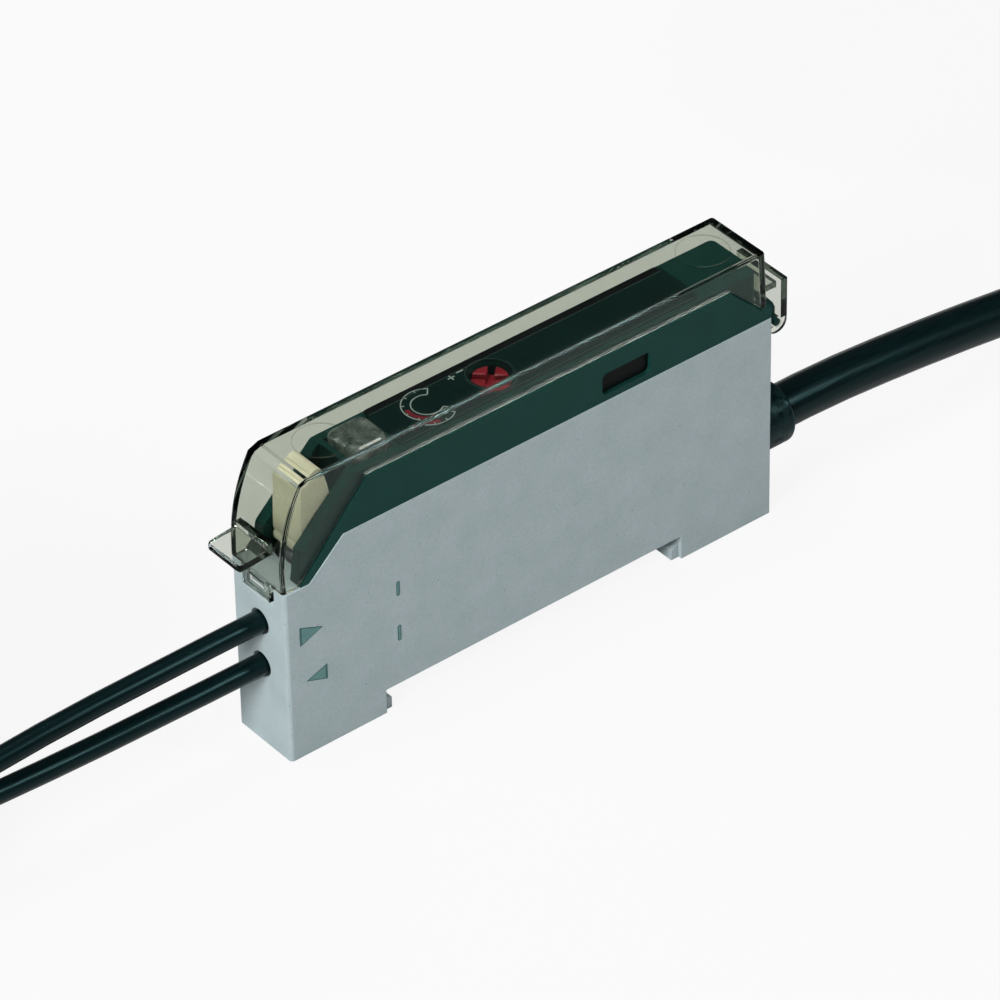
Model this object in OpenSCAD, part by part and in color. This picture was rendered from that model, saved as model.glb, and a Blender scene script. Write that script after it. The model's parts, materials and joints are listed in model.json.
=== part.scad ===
// Fibre optic sensor amplifier: a slim case that hooks over a 35 mm rail, with a dark deck on top,
// a smoke cover hinged at the cable end, two fibres in one end face and a cable out of the other.
// Inside each module X is counted from the fibre end's face. Y = 0 is the middle, Z = 0 the feet.

/* [Case] */
// Length of the case, from the fibre end to the cable end
case_len = 57.6; // [54:0.1:66]
// Width of the case
case_w = 7.8; // [7.6:0.1:10]
// Height of the case's flat top above the feet
case_top = 23; // [22.5:0.1:26]
// Thickness of the side walls
side_wall = 0.9; // [0.6:0.05:1]
// Thickness of the wall at the fibre end
front_wall = 1.6; // [1.4:0.1:2]
// Thickness of the wall at the cable end
rear_wall = 1.4; // [1:0.1:2]
// Thickness of the floor over the rail slot
floor_wall = 1; // [0.8:0.1:1.5]
// Length of the ledge at the fibre end
ledge_len = 2.9; // [2.6:0.1:3.2]
// Drop of the ledge below the flat top
ledge_drop = 3.7; // [3.4:0.1:4]
// Length of the slope from the ledge to the flat top
slope_len = 4; // [3.6:0.1:4.4]
// Rounding of the upright edges at the fibre end
edge_r = 0.4; // [0.2:0.05:0.7]

/* [Rail slot] */
// Length of the slot that takes the rail
rail_slot_len = 35.4; // [35.2:0.1:36]
// Height of the slot
rail_slot_h = 2.7; // [2.4:0.1:3.2]
// Reach of each hook under the rail's lip
hook_reach = 0.9; // [0.6:0.1:1.2]
// Height of each hook at its root
hook_h = 1.7; // [1.4:0.1:1.9]

/* [Fibre ports] */
// Outer diameter of a fibre
fibre_d = 2.2; // [1:0.1:2.2]
// Diameter of the port holes in the end face
port_d = 2.6; // [2.4:0.05:3]
// Height of the lower fibre
fibre_z = 9.25; // [9:0.05:9.5]
// Distance between the two fibres
fibre_pitch = 4.95; // [4.8:0.05:5]
// Depth of the fibres in the case
fibre_depth = 12.8; // [12:0.1:13.2]

/* [Deck] */
// Height of the deck's visible band above the case
band_h = 5.05; // [4.9:0.05:5.3]
// Height of the deck's top face above the case
deck_h = 5.6; // [5.5:0.05:5.9]
// Thickness of the deck's top wall
deck_wall = 1.2; // [0.9:0.1:1.5]
// Thickness of each cheek beside the lever
cheek_t = 1.2; // [1:0.05:1.3]
// Length of the side window
window_len = 5.8; // [4:0.1:8]
// Height of the side window
window_h = 2.4; // [1.6:0.1:3]
// Depth of the side window
window_depth = 0.5; // [0.3:0.05:0.6]

/* [Cover] */
// Height of the cover's top above the case
cover_rise = 7.9; // [7.7:0.05:8.4]
// Thickness of the cover's walls
cover_wall = 0.6; // [0.5:0.05:0.7]
// Inset of the cover from the case's sides
cover_inset = 0.1; // [0:0.05:0.2]
// Clearance between the cover and the deck
cover_gap = 0.15; // [0.1:0.01:0.2]
// Reach of the finger tab in front of the case
tab_len = 3.8; // [3:0.1:5]
// Width of the finger tab
tab_w = 4.8; // [4:0.1:5.4]
// Width of the latch loop
loop_w = 4; // [3.4:0.1:4.4]

/* [Cover hinge] */
// Distance of the hinge's axis behind the case
hinge_out = 1.4; // [1.4:0.05:1.8]
// Drop of the hinge's axis below the case's top
hinge_drop = 1.7; // [1.5:0.05:1.9]
// Diameter of the hinge pin
hinge_pin_d = 0.8; // [0.6:0.05:0.8]
// Running clearance round the hinge pin
hinge_gap = 0.08; // [0.05:0.01:0.1]
// Wall of the hooks that turn on the pin
hinge_wall = 0.75; // [0.5:0.05:0.75]
// Width over both hooks
hinge_w = 6; // [5:0.1:6]
// Width of each hook
hook_w = 0.7; // [0.6:0.05:0.9]

/* [Lock lever] */
// Diameter of the lever's two trunnions
trunnion_d = 1.2; // [1:0.1:1.4]
// Running clearance of the trunnions
trunnion_gap = 0.05; // [0.03:0.01:0.08]
// Side clearance of the lever between the cheeks
lever_gap = 0.1; // [0.08:0.01:0.15]
// Radius of the cam that presses the clamp
cam_r = 0.9; // [0.8:0.05:1]

/* [Adjuster and lamp] */
// Distance of the adjuster from the fibre end
adjuster_x = 27; // [25:0.1:30]
// Diameter of the adjuster's turning head
adjuster_d = 3.5; // [3:0.1:3.6]
// Diameter of the adjuster's stem
stem_d = 1.8; // [1.4:0.1:2]
// Running clearance of the stem
stem_gap = 0.05; // [0.03:0.01:0.08]
// Length of the indicator lens
lens_len = 4.4; // [4.2:0.1:4.8]
// Width of the indicator lens
lens_w = 4.2; // [3.9:0.1:4.2]
// Height of the indicator lens above the deck
lens_rise = 1; // [0.6:0.1:1.2]

/* [Cable gland] */
// Height of the cable above the feet
cable_z = 8.2; // [8:0.1:8.6]
// Outer diameter of the cable
cable_d = 4.5; // [4:0.1:4.5]
// Outer diameter of the gland
gland_d = 6.4; // [5.6:0.1:6.8]
// Length of the gland outside the case
gland_len = 3.9; // [3:0.1:5]

/* [Hidden] */
$fn = 48;

// Case
half_len = case_len / 2;
case_y = case_w / 2;
foot_len = (case_len - rail_slot_len) / 2;
ledge_z = case_top - ledge_drop;
slope_x = ledge_len + slope_len;
cavity_y = case_y - side_wall;
cavity_z = rail_slot_h + floor_wall;
roof_wall = 0.9;
hook_inset = 0.4;
port_zs = [fibre_z, fibre_z + fibre_pitch];

// Cover, in side view
cover_y = case_y - cover_inset;
cover_top = case_top + cover_rise;
cover_low = ledge_z + 0.1;
skirt_z = case_top + band_h + cover_gap;
skirt_front = 9.7;
skirt_rear = case_len - 5;
cover_rear = case_len - 0.5;
cover_rear_z = case_top + 1.45;
cover_edge_r = 0.3;
nose_x = -0.1;
nose_lean = 2.25;
nose_z0 = case_top - 1;
nose_z1 = cover_top - 0.55;
nose_steps = 8;
cover_top_front = 3.4;
cover_top_rear = case_len - 0.8;

// Deck
deck_top = case_top + deck_h;
bridge_y = cover_y - cover_wall - cover_gap;
bridge_rear = case_len - 1.5;
bridge_corner = 0.6;
cheek_x0 = 2.5;
cheek_x1 = 8.7;
plug_y = cavity_y - 0.1;
plug_drop = 1;
plug_wall = 0.8;
plug_x0 = slope_x + 1.7;
plug_x1 = case_len - rear_wall - 0.3;
deck_cavity_y = plug_y - plug_wall;
deck_cavity_rear = case_len - 4.1;
window_x = 37.1;
window_z = case_top + 0.7;
window_r = 0.6;
label_x0 = 14.4;
label_x1 = case_len - 8.2;
label_t = 0.12;
label_margin = 0.5;

// Hinge
hinge_x = case_len + hinge_out;
hinge_z = case_top - hinge_drop;
hinge_pin_r = hinge_pin_d / 2;
hook_in_r = hinge_pin_r + hinge_gap;
hook_out_r = hook_in_r + hinge_wall;
ear_y = hinge_w / 2 - hook_w - 0.1;
ear_clear = 0.15;
plate_top = case_top + 3;
web_y = 2.2;
web_z = cover_rear_z + 0.25;
web_t = 0.7;

// Latch loop and the nub that it snaps over
pocket_depth = 0.75;
loop_low = ledge_z - 1.7;
loop_bar = 0.7;
loop_leg = 0.8;
loop_x0 = -0.25;
loop_x1 = 0.3;
nub_reach = 0.3;

// Lever, cam and clamp
lever_y = bridge_y - cheek_t - lever_gap;
pivot_x = 4.6;
pivot_z = case_top - 0.6;
pivot_r = 1.1;
cam_angle = 20;
cam_offset = 1;
cam_x = pivot_x - cam_offset * sin(cam_angle);
cam_z = pivot_z - cam_offset * cos(cam_angle);
cam_clear = 0.1;
clamp_t = 1.6;
clamp_y = lever_y - 0.15;
grip_w = 0.3;
clamp_top = cam_z - cam_r - cam_clear;
clamp_travel = 0.18;
clamp_clear = 0.12;
well_rear = 8.85;

// Optics, board and the parts on it
holder_x0 = front_wall + 0.1;
holder_x1 = fibre_depth + 4.4;
holder_y = cavity_y - 0.1;
holder_top = ledge_z - roof_wall - 0.2;
holder_fit = 0.2;
led_r = 1.5;
led_flange_r = 1.9;
led_flange_t = 0.8;
led_len = 3.4;
led_lead_r = 0.225;
led_lead_pitch = 2.54;
board_y = led_lead_r + 0.025;
board_t = 0.8;
board_x0 = holder_x1 + 0.4;
board_x1 = case_len - 8.2;
board_top = case_top - 1.4;
board_arm_x = 9.8;
chip_x = board_x1 - 15.4;
transistor_x = board_x1 - 7.4;
capacitor_x = board_x1 - 13.4;
board_arm_z = holder_top + 0.4;
trimmer_len = 5;
trimmer_y = 2;
trimmer_z0 = case_top - 3.7;
trimmer_z1 = case_top + 0.6;
rotor_top = deck_top - 0.3;
rotor_h = 2;
rotor_clear = 0.3;
lens_x0 = 9.5;
lens_x = lens_x0 + lens_len / 2;
lens_fit = 0.05;
lens_z0 = deck_top - deck_wall - 0.5;
lens_top = deck_top + lens_rise;
lens_r = 0.9;
lamp_x = lens_x;
lamp_z0 = case_top - 1;

// Gland and the cable inside the case
gland_bore_r = cable_d / 2 + 0.06;
gland_neck_r = gland_bore_r + 0.3;
gland_flange_t = 0.9;
gland_flange_r = min(gland_neck_r + 0.3, cavity_y - 0.05);
gland_fit = 0.04;
cable_in_x = case_len - 5.4;
crimp_t = 0.5;
crimp_len = 2;
wire_r = 0.45;
wire_len = 6;
wire_pitch = 1.4;

// Cords, in the part's own frame: points chosen by hand, in millimetres
cable_route = [[23.4, 0, 8.2], [32.7, 0, 8.2], [36, 0, 8.2], [41, 0, 8], [46, 0, 7.6], [51, 0, 7.1],
    [57, 0, 6.4], [63, 0, 5.6], [69, 0, 4.8], [75, 0, 4.1], [81, 0, 3.5], [87, 0, 3.1],
    [93, 0, 2.9], [101, 0, 2.85]];
upper_route = [[-16, 0, 14.2], [-24, 0, 14.2], [-29, 0, 14.2], [-35, 0, 14.2], [-41, 0, 14.15],
    [-47, 0, 14.1], [-53, 0, 13.9], [-59, 0, 13.5], [-65, 0, 13.1]];
lower_route = [[-16, 0, 9.25], [-24, 0, 9.25], [-29, 0, 9.25], [-35, 0, 9.3], [-41, 0, 9.4],
    [-47, 0, 9.5], [-53, 0, 9.7], [-59, 0, 10], [-65, 0, 10.3]];
cord_lift = 0.6;
tie_t = 0.5;
tie_fit = 0.05;
cord_fibre_d = 2.2;
cord_cable_d = 4.5;
fibre_coil_at = [-70.5, 18];
fibre_coil_r0 = 10.3;
fibre_coil_r1 = 19.1;
fibre_coil_h = 11;
fibre_coil_gap = 0.1;
fibre_tie_w = 5;
cable_coil_x = 107;
cable_coil_y = 18;
cable_run = 31;
cable_coil_r0 = 11.25;
cable_coil_r1 = 20.25;
cable_coil_h = 27;
cable_tie_w = 4;
head_d = 3;
head_len = 12;
head_tip_d = 1.6;
head_tip_len = 1.5;
core_d = 1.3;
core_len = 20;

// Moves a piece that is drawn from the fibre end's face into the part's frame
module place() {
    translate([-half_len, 0, 0]) children();
}

// Extrudes an outline drawn in X and Z from y0 to y1
module slab(y0, y1) {
    rotate([90, 0, 0]) translate([0, 0, -y1]) linear_extrude(y1 - y0) children();
}

// Extrudes an outline drawn in X and Z evenly to both sides of the middle
module both_sides(y) {
    slab(-y, y) children();
}

// A round rod along X
module rod_x(r, x0, x1) {
    translate([x0, 0, 0]) rotate([0, 90, 0]) cylinder(r = r, h = x1 - x0);
}

// A round rod along Y
module rod_y(r, y0, y1) {
    translate([0, y0, 0]) rotate([-90, 0, 0]) cylinder(r = r, h = y1 - y0);
}

// A box from one corner to the other
module box(low, high) {
    translate(low) cube(high - low);
}

// Points on an arc
function arc(at, r, a0, a1, n = 6) =
    [for (i = [0 : n]) at + r * [cos(a0 + (a1 - a0) * i / n), sin(a0 + (a1 - a0) * i / n)]];

// A rectangle with round corners, r0 at its low end and r1 at its high end
function round_box(x0, x1, y0, y1, r0, r1) = concat(
    arc([x0 + r0, y0 + r0], r0, 180, 270), arc([x1 - r1, y0 + r1], r1, 270, 360),
    arc([x1 - r1, y1 - r1], r1, 0, 90), arc([x0 + r0, y1 - r0], r0, 90, 180));

function unit(v) = v / norm(v);
function heading(p, i) = unit(p[min(i + 1, len(p) - 1)] - p[max(i - 1, 0)]);
function ring_point(p, i, r, a) =
    p[i] + r * (cos(a) * [0, 1, 0] + sin(a) * cross(heading(p, i), [0, 1, 0]));

// A tube along a route that keeps to one upright plane
module tube(route, d, sides) {
    count = len(route);
    points = [for (i = [0 : count - 1]) for (k = [0 : sides - 1])
        ring_point(route, i, d / 2, 360 * k / sides)];
    walls = [for (i = [0 : count - 2]) for (k = [0 : sides - 1])
        [i * sides + k, (i + 1) * sides + k,
            (i + 1) * sides + (k + 1) % sides, i * sides + (k + 1) % sides]];
    first = [for (k = [0 : sides - 1]) k];
    last = [for (k = [sides - 1 : -1 : 0]) (count - 1) * sides + k];
    polyhedron(points = points, faces = concat([first], walls, [last]));
}

// Case
module rail_hook() {
    both_sides(case_y - hook_inset)
    polygon([[-0.1, 0], [hook_reach, 0], [hook_reach, hook_h - 0.5], [0, hook_h], [-0.1, hook_h]]);
}

module case_blank() {
    intersection() {
        both_sides(case_y)
        polygon([[0, 0], [foot_len, 0], [foot_len, rail_slot_h], [case_len - foot_len, rail_slot_h],
            [case_len - foot_len, 0], [case_len, 0], [case_len, case_top], [slope_x, case_top],
            [ledge_len, ledge_z], [0, ledge_z]]);
        translate([0, 0, -1])
        linear_extrude(case_top + 2)
        polygon(round_box(0, case_len, -case_y, case_y, edge_r, edge_r / 2));
    }
    translate([foot_len, 0, 0]) rail_hook();
    translate([case_len - foot_len, 0, 0]) mirror([1, 0, 0]) rail_hook();
}

module case_cavity() {
    both_sides(cavity_y)
    polygon([[front_wall, cavity_z], [case_len - rear_wall, cavity_z], [case_len - rear_wall, case_top + 1],
        [slope_x + 1.3, case_top + 1], [slope_x + 1.3, case_top], [ledge_len + 0.4, ledge_z - roof_wall],
        [front_wall, ledge_z - roof_wall]]);
}

module main_case() {
    color("#a3afb2")
    place()
    union() {
        difference() {
            case_blank();
            case_cavity();
            for (z = port_zs)
                translate([0, 0, z]) rod_x(port_d / 2, -1, front_wall + 1);
            translate([0, 0, cable_z])
            rod_x(gland_neck_r + gland_fit, case_len - rear_wall - 1, case_len + 1);
            box([ledge_len + 0.3, -lever_y - lever_gap, ledge_z - 2],
                [slope_x, lever_y + lever_gap, case_top + 1]);
            box([-1, -loop_w / 2 - 0.3, loop_low - 0.4], [pocket_depth, loop_w / 2 + 0.3, ledge_z + 1]);
        }
        both_sides(loop_w / 2 - loop_leg - 0.2)
        polygon([[pocket_depth + 0.1, loop_low + loop_bar + 0.15],
            [pocket_depth, loop_low + loop_bar + 0.15], [pocket_depth - nub_reach, ledge_z - 0.4],
            [pocket_depth - nub_reach, ledge_z - 0.2],
            [pocket_depth + 0.1, ledge_z - 0.2]]);
    }
}

// Deck
module deck_band() {
    both_sides(cover_y)
    polygon([[1.95, ledge_z], [ledge_len, ledge_z], [slope_x, case_top], [case_len, case_top],
        [case_len, cover_rear_z - cover_gap], [cover_rear - 0.75, cover_rear_z - cover_gap],
        [skirt_rear - 0.1, case_top + band_h], [skirt_front + 0.2, case_top + band_h]]);
}

module deck_bridge() {
    intersection() {
        both_sides(bridge_y)
        polygon([[2, ledge_z], [cheek_x0, case_top - 0.3], [cheek_x1, deck_top], [bridge_rear, deck_top],
            [bridge_rear, case_top], [slope_x, case_top], [ledge_len, ledge_z]]);
        linear_extrude(deck_top + 1)
        polygon(round_box(0, bridge_rear, -bridge_y, bridge_y, 0.01, bridge_corner));
    }
}

module deck_plug() {
    difference() {
        box([plug_x0, -plug_y, case_top - plug_drop], [plug_x1, plug_y, case_top + 0.1]);
        box([plug_x0 + plug_wall, -deck_cavity_y, case_top - plug_drop - 1],
            [plug_x1 - plug_wall, deck_cavity_y, case_top + 1]);
    }
}

module hinge_ear() {
    polygon(concat([[case_len - 1, case_top], [case_len + ear_clear, case_top],
            [hinge_x - hinge_pin_r - 0.2, case_top - 0.5], [hinge_x - hinge_pin_r, hinge_z + 0.6]],
        arc([hinge_x, hinge_z], hinge_pin_r, 180, 360),
        [[hinge_x + hinge_pin_r, case_top - 0.5], [hinge_x + 0.15, case_top + 0.1],
            [case_len + 0.8, case_top + 1.05], [case_len - 1, cover_rear_z - cover_gap]]));
}

module lever_well() {
    both_sides(lever_y + lever_gap)
    polygon([[0, ledge_z - 1], [pivot_x + pivot_r + 0.3, ledge_z - 1],
        [pivot_x + pivot_r + 0.3, case_top - 0.6],
        [slope_x, case_top + 0.1], [7.8, case_top + 0.6], [well_rear - 0.1, case_top + 2],
        [well_rear, case_top + 3],
        [well_rear, deck_top + 1], [0, deck_top + 1]]);
}

module top_deck() {
    color("#1d3735")
    place()
    union() {
        difference() {
            union() {
                deck_band();
                deck_bridge();
            }
            lever_well();
            translate([pivot_x, 0, pivot_z])
            rod_y(trunnion_d / 2 + trunnion_gap, -bridge_y - 0.1, bridge_y + 0.1);
            box([lens_x0 - lens_fit, -deck_cavity_y, case_top - 1],
                [deck_cavity_rear, deck_cavity_y, deck_top - deck_wall]);
            box([lens_x0 - lens_fit, -lens_w / 2 - lens_fit, deck_top - deck_wall - 1],
                [lens_x0 + lens_len + lens_fit, lens_w / 2 + lens_fit, deck_top + 1]);
            translate([adjuster_x, 0, case_top]) cylinder(r = adjuster_d / 2 + rotor_clear, h = deck_h + 1);
            slab(-cover_y - 1, -cover_y + window_depth)
            polygon(round_box(window_x, window_x + window_len, window_z, window_z + window_h,
                window_r, window_r));
        }
        deck_plug();
        both_sides(ear_y) hinge_ear();
        translate([hinge_x, 0, hinge_z]) rod_y(hinge_pin_r, -hinge_w / 2, hinge_w / 2);
    }
}

module panel_label() {
    color("#101414")
    place()
    difference() {
        translate([0, 0, deck_top])
        linear_extrude(label_t)
        polygon(round_box(label_x0, label_x1, -bridge_y + label_margin, bridge_y - label_margin, 0.3, 0.3));
        translate([adjuster_x, 0, deck_top - 1]) cylinder(r = adjuster_d / 2 + rotor_clear, h = 2);
    }
}

// Cover
// A point of the nose, which leans back more and more towards its top, from t = 0 to 1
function nose_point(t, inset) =
    [nose_x + inset + nose_lean * t * t, nose_z0 + (nose_z1 - 0.4 * inset - nose_z0) * t];

function cover_outline(inset, low = cover_low) = concat(
    [[nose_x + inset, low], [cover_rear - inset, low], [cover_rear - inset, cover_rear_z]],
    arc([cover_top_rear - inset - cover_edge_r, cover_top - inset - cover_edge_r], cover_edge_r, 10, 90, 4),
    [[cover_top_front, cover_top - inset]],
    [for (i = [nose_steps : -1 : 0]) nose_point(i / nose_steps, inset)]);

// The closed outer form, with its upper edges rounded
module cover_blank() {
    hull()
    for (a = [0 : 30 : 90])
        both_sides(cover_y - cover_edge_r * (1 - cos(a)))
        polygon(cover_outline(cover_edge_r * (1 - sin(a))));
}

// What is cut away below the skirt of the cover
module cover_below() {
    both_sides(cover_y + 1)
    polygon([[1.67, cover_low], [skirt_front, skirt_z], [skirt_rear, skirt_z],
        [cover_rear - 0.6, cover_rear_z], [case_len + 1, cover_rear_z], [case_len + 1, cover_low - 1],
        [1.67, cover_low - 1]]);
}

// The room inside
module cover_hollow() {
    both_sides(cover_y - cover_wall)
    polygon(cover_outline(cover_wall, cover_low - 1));
}

module finger_tab() {
    intersection() {
        both_sides(tab_w / 2)
        polygon([[0.3, case_top + 0.3], [0.25 - tab_len, case_top - 0.05], [-tab_len, case_top + 0.15],
            [-tab_len, case_top + 0.45], [0.25 - tab_len, case_top + 0.7], [-0.5, case_top + 1],
            [-0.5, case_top + 1.5], [0.4, case_top + 1.6]]);
        translate([0, 0, case_top - 2])
        linear_extrude(5)
        polygon(round_box(-tab_len, 1, -tab_w / 2, tab_w / 2, 0.6, 0.1));
    }
}

module latch_loop() {
    difference() {
        box([loop_x0, -loop_w / 2, loop_low], [loop_x1, loop_w / 2, cover_low + 0.3]);
        box([loop_x0 - 1, -loop_w / 2 + loop_leg, loop_low + loop_bar],
            [loop_x1 + 1, loop_w / 2 - loop_leg, ledge_z - 0.05]);
    }
}

// The plate with two hooks that turn on the deck's pin, open towards the case so that they snap on
module hinge_hooks() {
    difference() {
        union() {
            for (y = [-hinge_w / 2, hinge_w / 2 - hook_w])
                translate([hinge_x, 0, hinge_z]) rod_y(hook_out_r, y, y + hook_w);
            box([hinge_x + hook_in_r, -hinge_w / 2, hinge_z],
                [hinge_x + hook_out_r, hinge_w / 2, plate_top]);
        }
        translate([hinge_x, 0, hinge_z]) rod_y(hook_in_r, -hinge_w, hinge_w);
        both_sides(hinge_w)
        polygon([[hinge_x, hinge_z], [hinge_x - 2 * hook_out_r, hinge_z - hook_out_r],
            [hinge_x - 2 * hook_out_r, hinge_z + 2 * hook_out_r],
            [hinge_x + hook_in_r, hinge_z + 2 * hook_out_r], [hinge_x + hook_in_r, hinge_z]]);
    }
}

// The web between the cover's rear wall and the plate
module cover_web() {
    box([cover_rear - 0.3, -web_y, web_z], [hinge_x + hook_in_r + 0.2, web_y, web_z + web_t]);
}

module dust_cover() {
    color("#9a9a88", 0.5)
    place()
    union() {
        difference() {
            cover_blank();
            cover_below();
            cover_hollow();
        }
        finger_tab();
        latch_loop();
        hinge_hooks();
        cover_web();
    }
}

// Lever that locks the fibres, with two grip grooves across its sloping top
module lever_outline() {
    polygon(concat([[pivot_x - pivot_r, pivot_z], [3.7, case_top + 5.2]],
        arc([4.15, case_top + 5.2], 0.45, 170, 110, 4),
        arc([5.7, case_top + 5.6], 0.7, 100, 30, 5),
        [[6.6, case_top + 4.8], [6.85, case_top + 3.6], [6.7, case_top + 2.4],
            [6.2, case_top + 1.4], [pivot_x + pivot_r, pivot_z]]));
}

module lock_lever() {
    color("#c9c49a")
    place()
    difference() {
        union() {
            both_sides(lever_y) lever_outline();
            translate([pivot_x, 0, pivot_z]) rod_y(pivot_r, -lever_y, lever_y);
            translate([cam_x, 0, cam_z]) rod_y(cam_r, -lever_y + lever_gap, lever_y - lever_gap);
            translate([pivot_x, 0, pivot_z]) rod_y(trunnion_d / 2, -bridge_y + 0.1, bridge_y - 0.1);
        }
        for (x = [4.2, 4.8])
            translate([x, 0, case_top + 5.6 + 0.4 * (x - 4.2)])
            rotate([0, -22, 0])
            box([0, -lever_y - 1, 0], [grip_w, lever_y + 1, 2]);
    }
}

// A hole that lets a fibre pass while the clamp lifts
module clamp_hole(z) {
    r = fibre_d / 2 + clamp_clear;
    drop = clamp_travel + clamp_clear;
    translate([0, 0, z]) rod_x(r, 0, 20);
    translate([0, 0, z - drop]) rod_x(r, 0, 20);
    box([0, -r, z - drop], [20, r, z]);
}

module fibre_clamp() {
    color("#8b8f90")
    place()
    difference() {
        box([cam_x - clamp_t / 2, -clamp_y, fibre_z - 2.2], [cam_x + clamp_t / 2, clamp_y, clamp_top]);
        for (z = port_zs)
            clamp_hole(z);
    }
}

// Indicator
module indicator_lens() {
    color("#7e918c")
    place()
    hull() {
        translate([0, 0, lens_z0])
        linear_extrude(lens_top - lens_z0 - 0.4)
        polygon(round_box(lens_x0, lens_x0 + lens_len, -lens_w / 2, lens_w / 2, lens_r, lens_r));
        translate([0, 0, lens_z0])
        linear_extrude(lens_top - lens_z0)
        polygon(round_box(lens_x0 + 0.4, lens_x0 + lens_len - 0.4, 0.4 - lens_w / 2, lens_w / 2 - 0.4,
            0.7, 0.7));
    }
}

// A round lamp along Z with its flange at the bottom and two leads below it
module lamp(lead_len) {
    translate([0, 0, 0]) cylinder(r = led_flange_r, h = led_flange_t);
    cylinder(r = led_r, h = led_len - led_r);
    translate([0, 0, led_len - led_r]) sphere(r = led_r);
    for (x = [-led_lead_pitch / 2, led_lead_pitch / 2])
        translate([x, 0, -lead_len]) cylinder(r = led_lead_r, h = lead_len + 0.1);
}

module optic_lamp(z) {
    translate([holder_x1 - 0.1, 0, z]) rotate([0, -90, 0]) lamp(4);
}

module emitter_led() {
    color("#c23a3a")
    place() optic_lamp(port_zs[0]);
}

module receiver_diode() {
    color("#2a2f33")
    place() optic_lamp(port_zs[1]);
}

module indicator_led() {
    color("#d8d2c0")
    place()
    translate([lamp_x, 0, lamp_z0]) lamp(2.6);
}

// Sensitivity adjuster
module adjuster_rotor() {
    color("#b02c3c")
    place()
    translate([adjuster_x, 0, 0])
    difference() {
        union() {
            translate([0, 0, rotor_top - rotor_h]) cylinder(r = adjuster_d / 2, h = rotor_h);
            translate([0, 0, trimmer_z0 + 1])
            cylinder(r = stem_d / 2, h = rotor_top - rotor_h - trimmer_z0);
        }
        for (turn = [45, 135])
            rotate([0, 0, turn])
            box([-adjuster_d, -0.35, rotor_top - 1], [adjuster_d, 0.35, rotor_top + 1]);
    }
}

module trimmer_body() {
    color("#27303a")
    place()
    difference() {
        box([adjuster_x - trimmer_len / 2, -trimmer_y, trimmer_z0],
            [adjuster_x + trimmer_len / 2, trimmer_y, trimmer_z1]);
        translate([adjuster_x, 0, trimmer_z0 + 0.8]) cylinder(r = stem_d / 2 + stem_gap, h = 10);
    }
}

// Board and what is on it
module circuit_board() {
    color("#2f6b45")
    place()
    slab(board_y, board_y + board_t)
    difference() {
        polygon([[board_x0, cavity_z], [board_x1, cavity_z], [board_x1, board_top],
            [board_arm_x, board_top], [board_arm_x, board_arm_z], [board_x0, board_arm_z]]);
        translate([adjuster_x - trimmer_len / 2 - 0.1, trimmer_z0 - 0.1]) square([trimmer_len + 0.2, 10]);
    }
}

module optics_holder() {
    color("#1b1d1f")
    place()
    difference() {
        box([holder_x0, -holder_y, cavity_z], [holder_x1, holder_y, holder_top]);
        for (z = port_zs)
            translate([0, 0, z]) {
                rod_x(fibre_d / 2 + 0.1, 0, fibre_depth + 0.05);
                rod_x(fibre_d / 4, 0, holder_x1);
                rod_x(led_r + 0.05, fibre_depth + 0.6, holder_x1 + 1);
                rod_x(led_flange_r + 0.05, holder_x1 - led_flange_t - 0.15, holder_x1 + 1);
            }
        box([cam_x - clamp_t / 2 - holder_fit, -clamp_y - holder_fit, fibre_z - 2.2 - holder_fit],
            [cam_x + clamp_t / 2 + holder_fit, clamp_y + holder_fit, holder_top + 1]);
    }
}

module amplifier_chip() {
    color("#202224")
    place()
    translate([chip_x, board_y, 12]) {
        box([-2.45, -1.5, -1.95], [2.45, -0.1, 1.95]);
        for (x = [-1.905 : 1.27 : 1.905], side = [-1, 1])
            translate([x, 0, side * 2.4]) box([-0.2, -0.85, -0.5], [0.2, 0, 0.5]);
    }
}

module output_transistor() {
    color("#26282a")
    place()
    translate([transistor_x, board_y, 11]) {
        box([-2.25, -1.5, -1.25], [2.25, 0, 1.25]);
        for (x = [-1.5, 0, 1.5])
            box([x - 0.2, -0.4, -2.2], [x + 0.2, 0, -1.2]);
        box([-0.85, -0.4, 1.2], [0.85, 0, 1.9]);
    }
}

module capacitor() {
    color("#3b4f86")
    place()
    translate([capacitor_x, board_y - 1.55, 17.2])
    union() {
        rod_x(1.5, 0, 0.8);
        rod_x(1.38, 0.8, 1.2);
        rod_x(1.5, 1.2, 6.5);
    }
}

// Cable end of the case
module cable_gland() {
    color("#15181a")
    place()
    translate([case_len, 0, cable_z])
    rotate([0, 90, 0])
    rotate_extrude()
    polygon(concat([[gland_bore_r, -rear_wall - gland_flange_t],
            [gland_flange_r, -rear_wall - gland_flange_t], [gland_flange_r, -rear_wall],
            [gland_neck_r, -rear_wall], [gland_neck_r, 0], [gland_d / 2, 0]],
        arc([gland_d / 2 - 0.4, gland_len - 0.4], 0.4, 0, 90, 4), [[gland_bore_r, gland_len]]));
}

module cable_crimp() {
    color("#b9bcbf")
    place()
    translate([0, 0, cable_z])
    difference() {
        rod_x(cable_d / 2 + 0.05 + crimp_t, cable_in_x + 0.4, cable_in_x + 0.4 + crimp_len);
        rod_x(cable_d / 2 + 0.05, cable_in_x, cable_in_x + 10);
    }
}

module board_wires() {
    color("#6a4a35")
    place()
    for (i = [-1, 0, 1])
        translate([0, board_y - wire_r, cable_z + i * wire_pitch])
        rod_x(wire_r, cable_in_x - wire_len, cable_in_x);
}

// Cable outside the case
module stadium(r) {
    translate([cable_coil_x, cable_coil_y]) circle(r);
    translate([cable_coil_x + cable_run, cable_coil_y]) circle(r);
    translate([cable_coil_x, cable_coil_y - r]) square([cable_run, 2 * r]);
}

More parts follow.
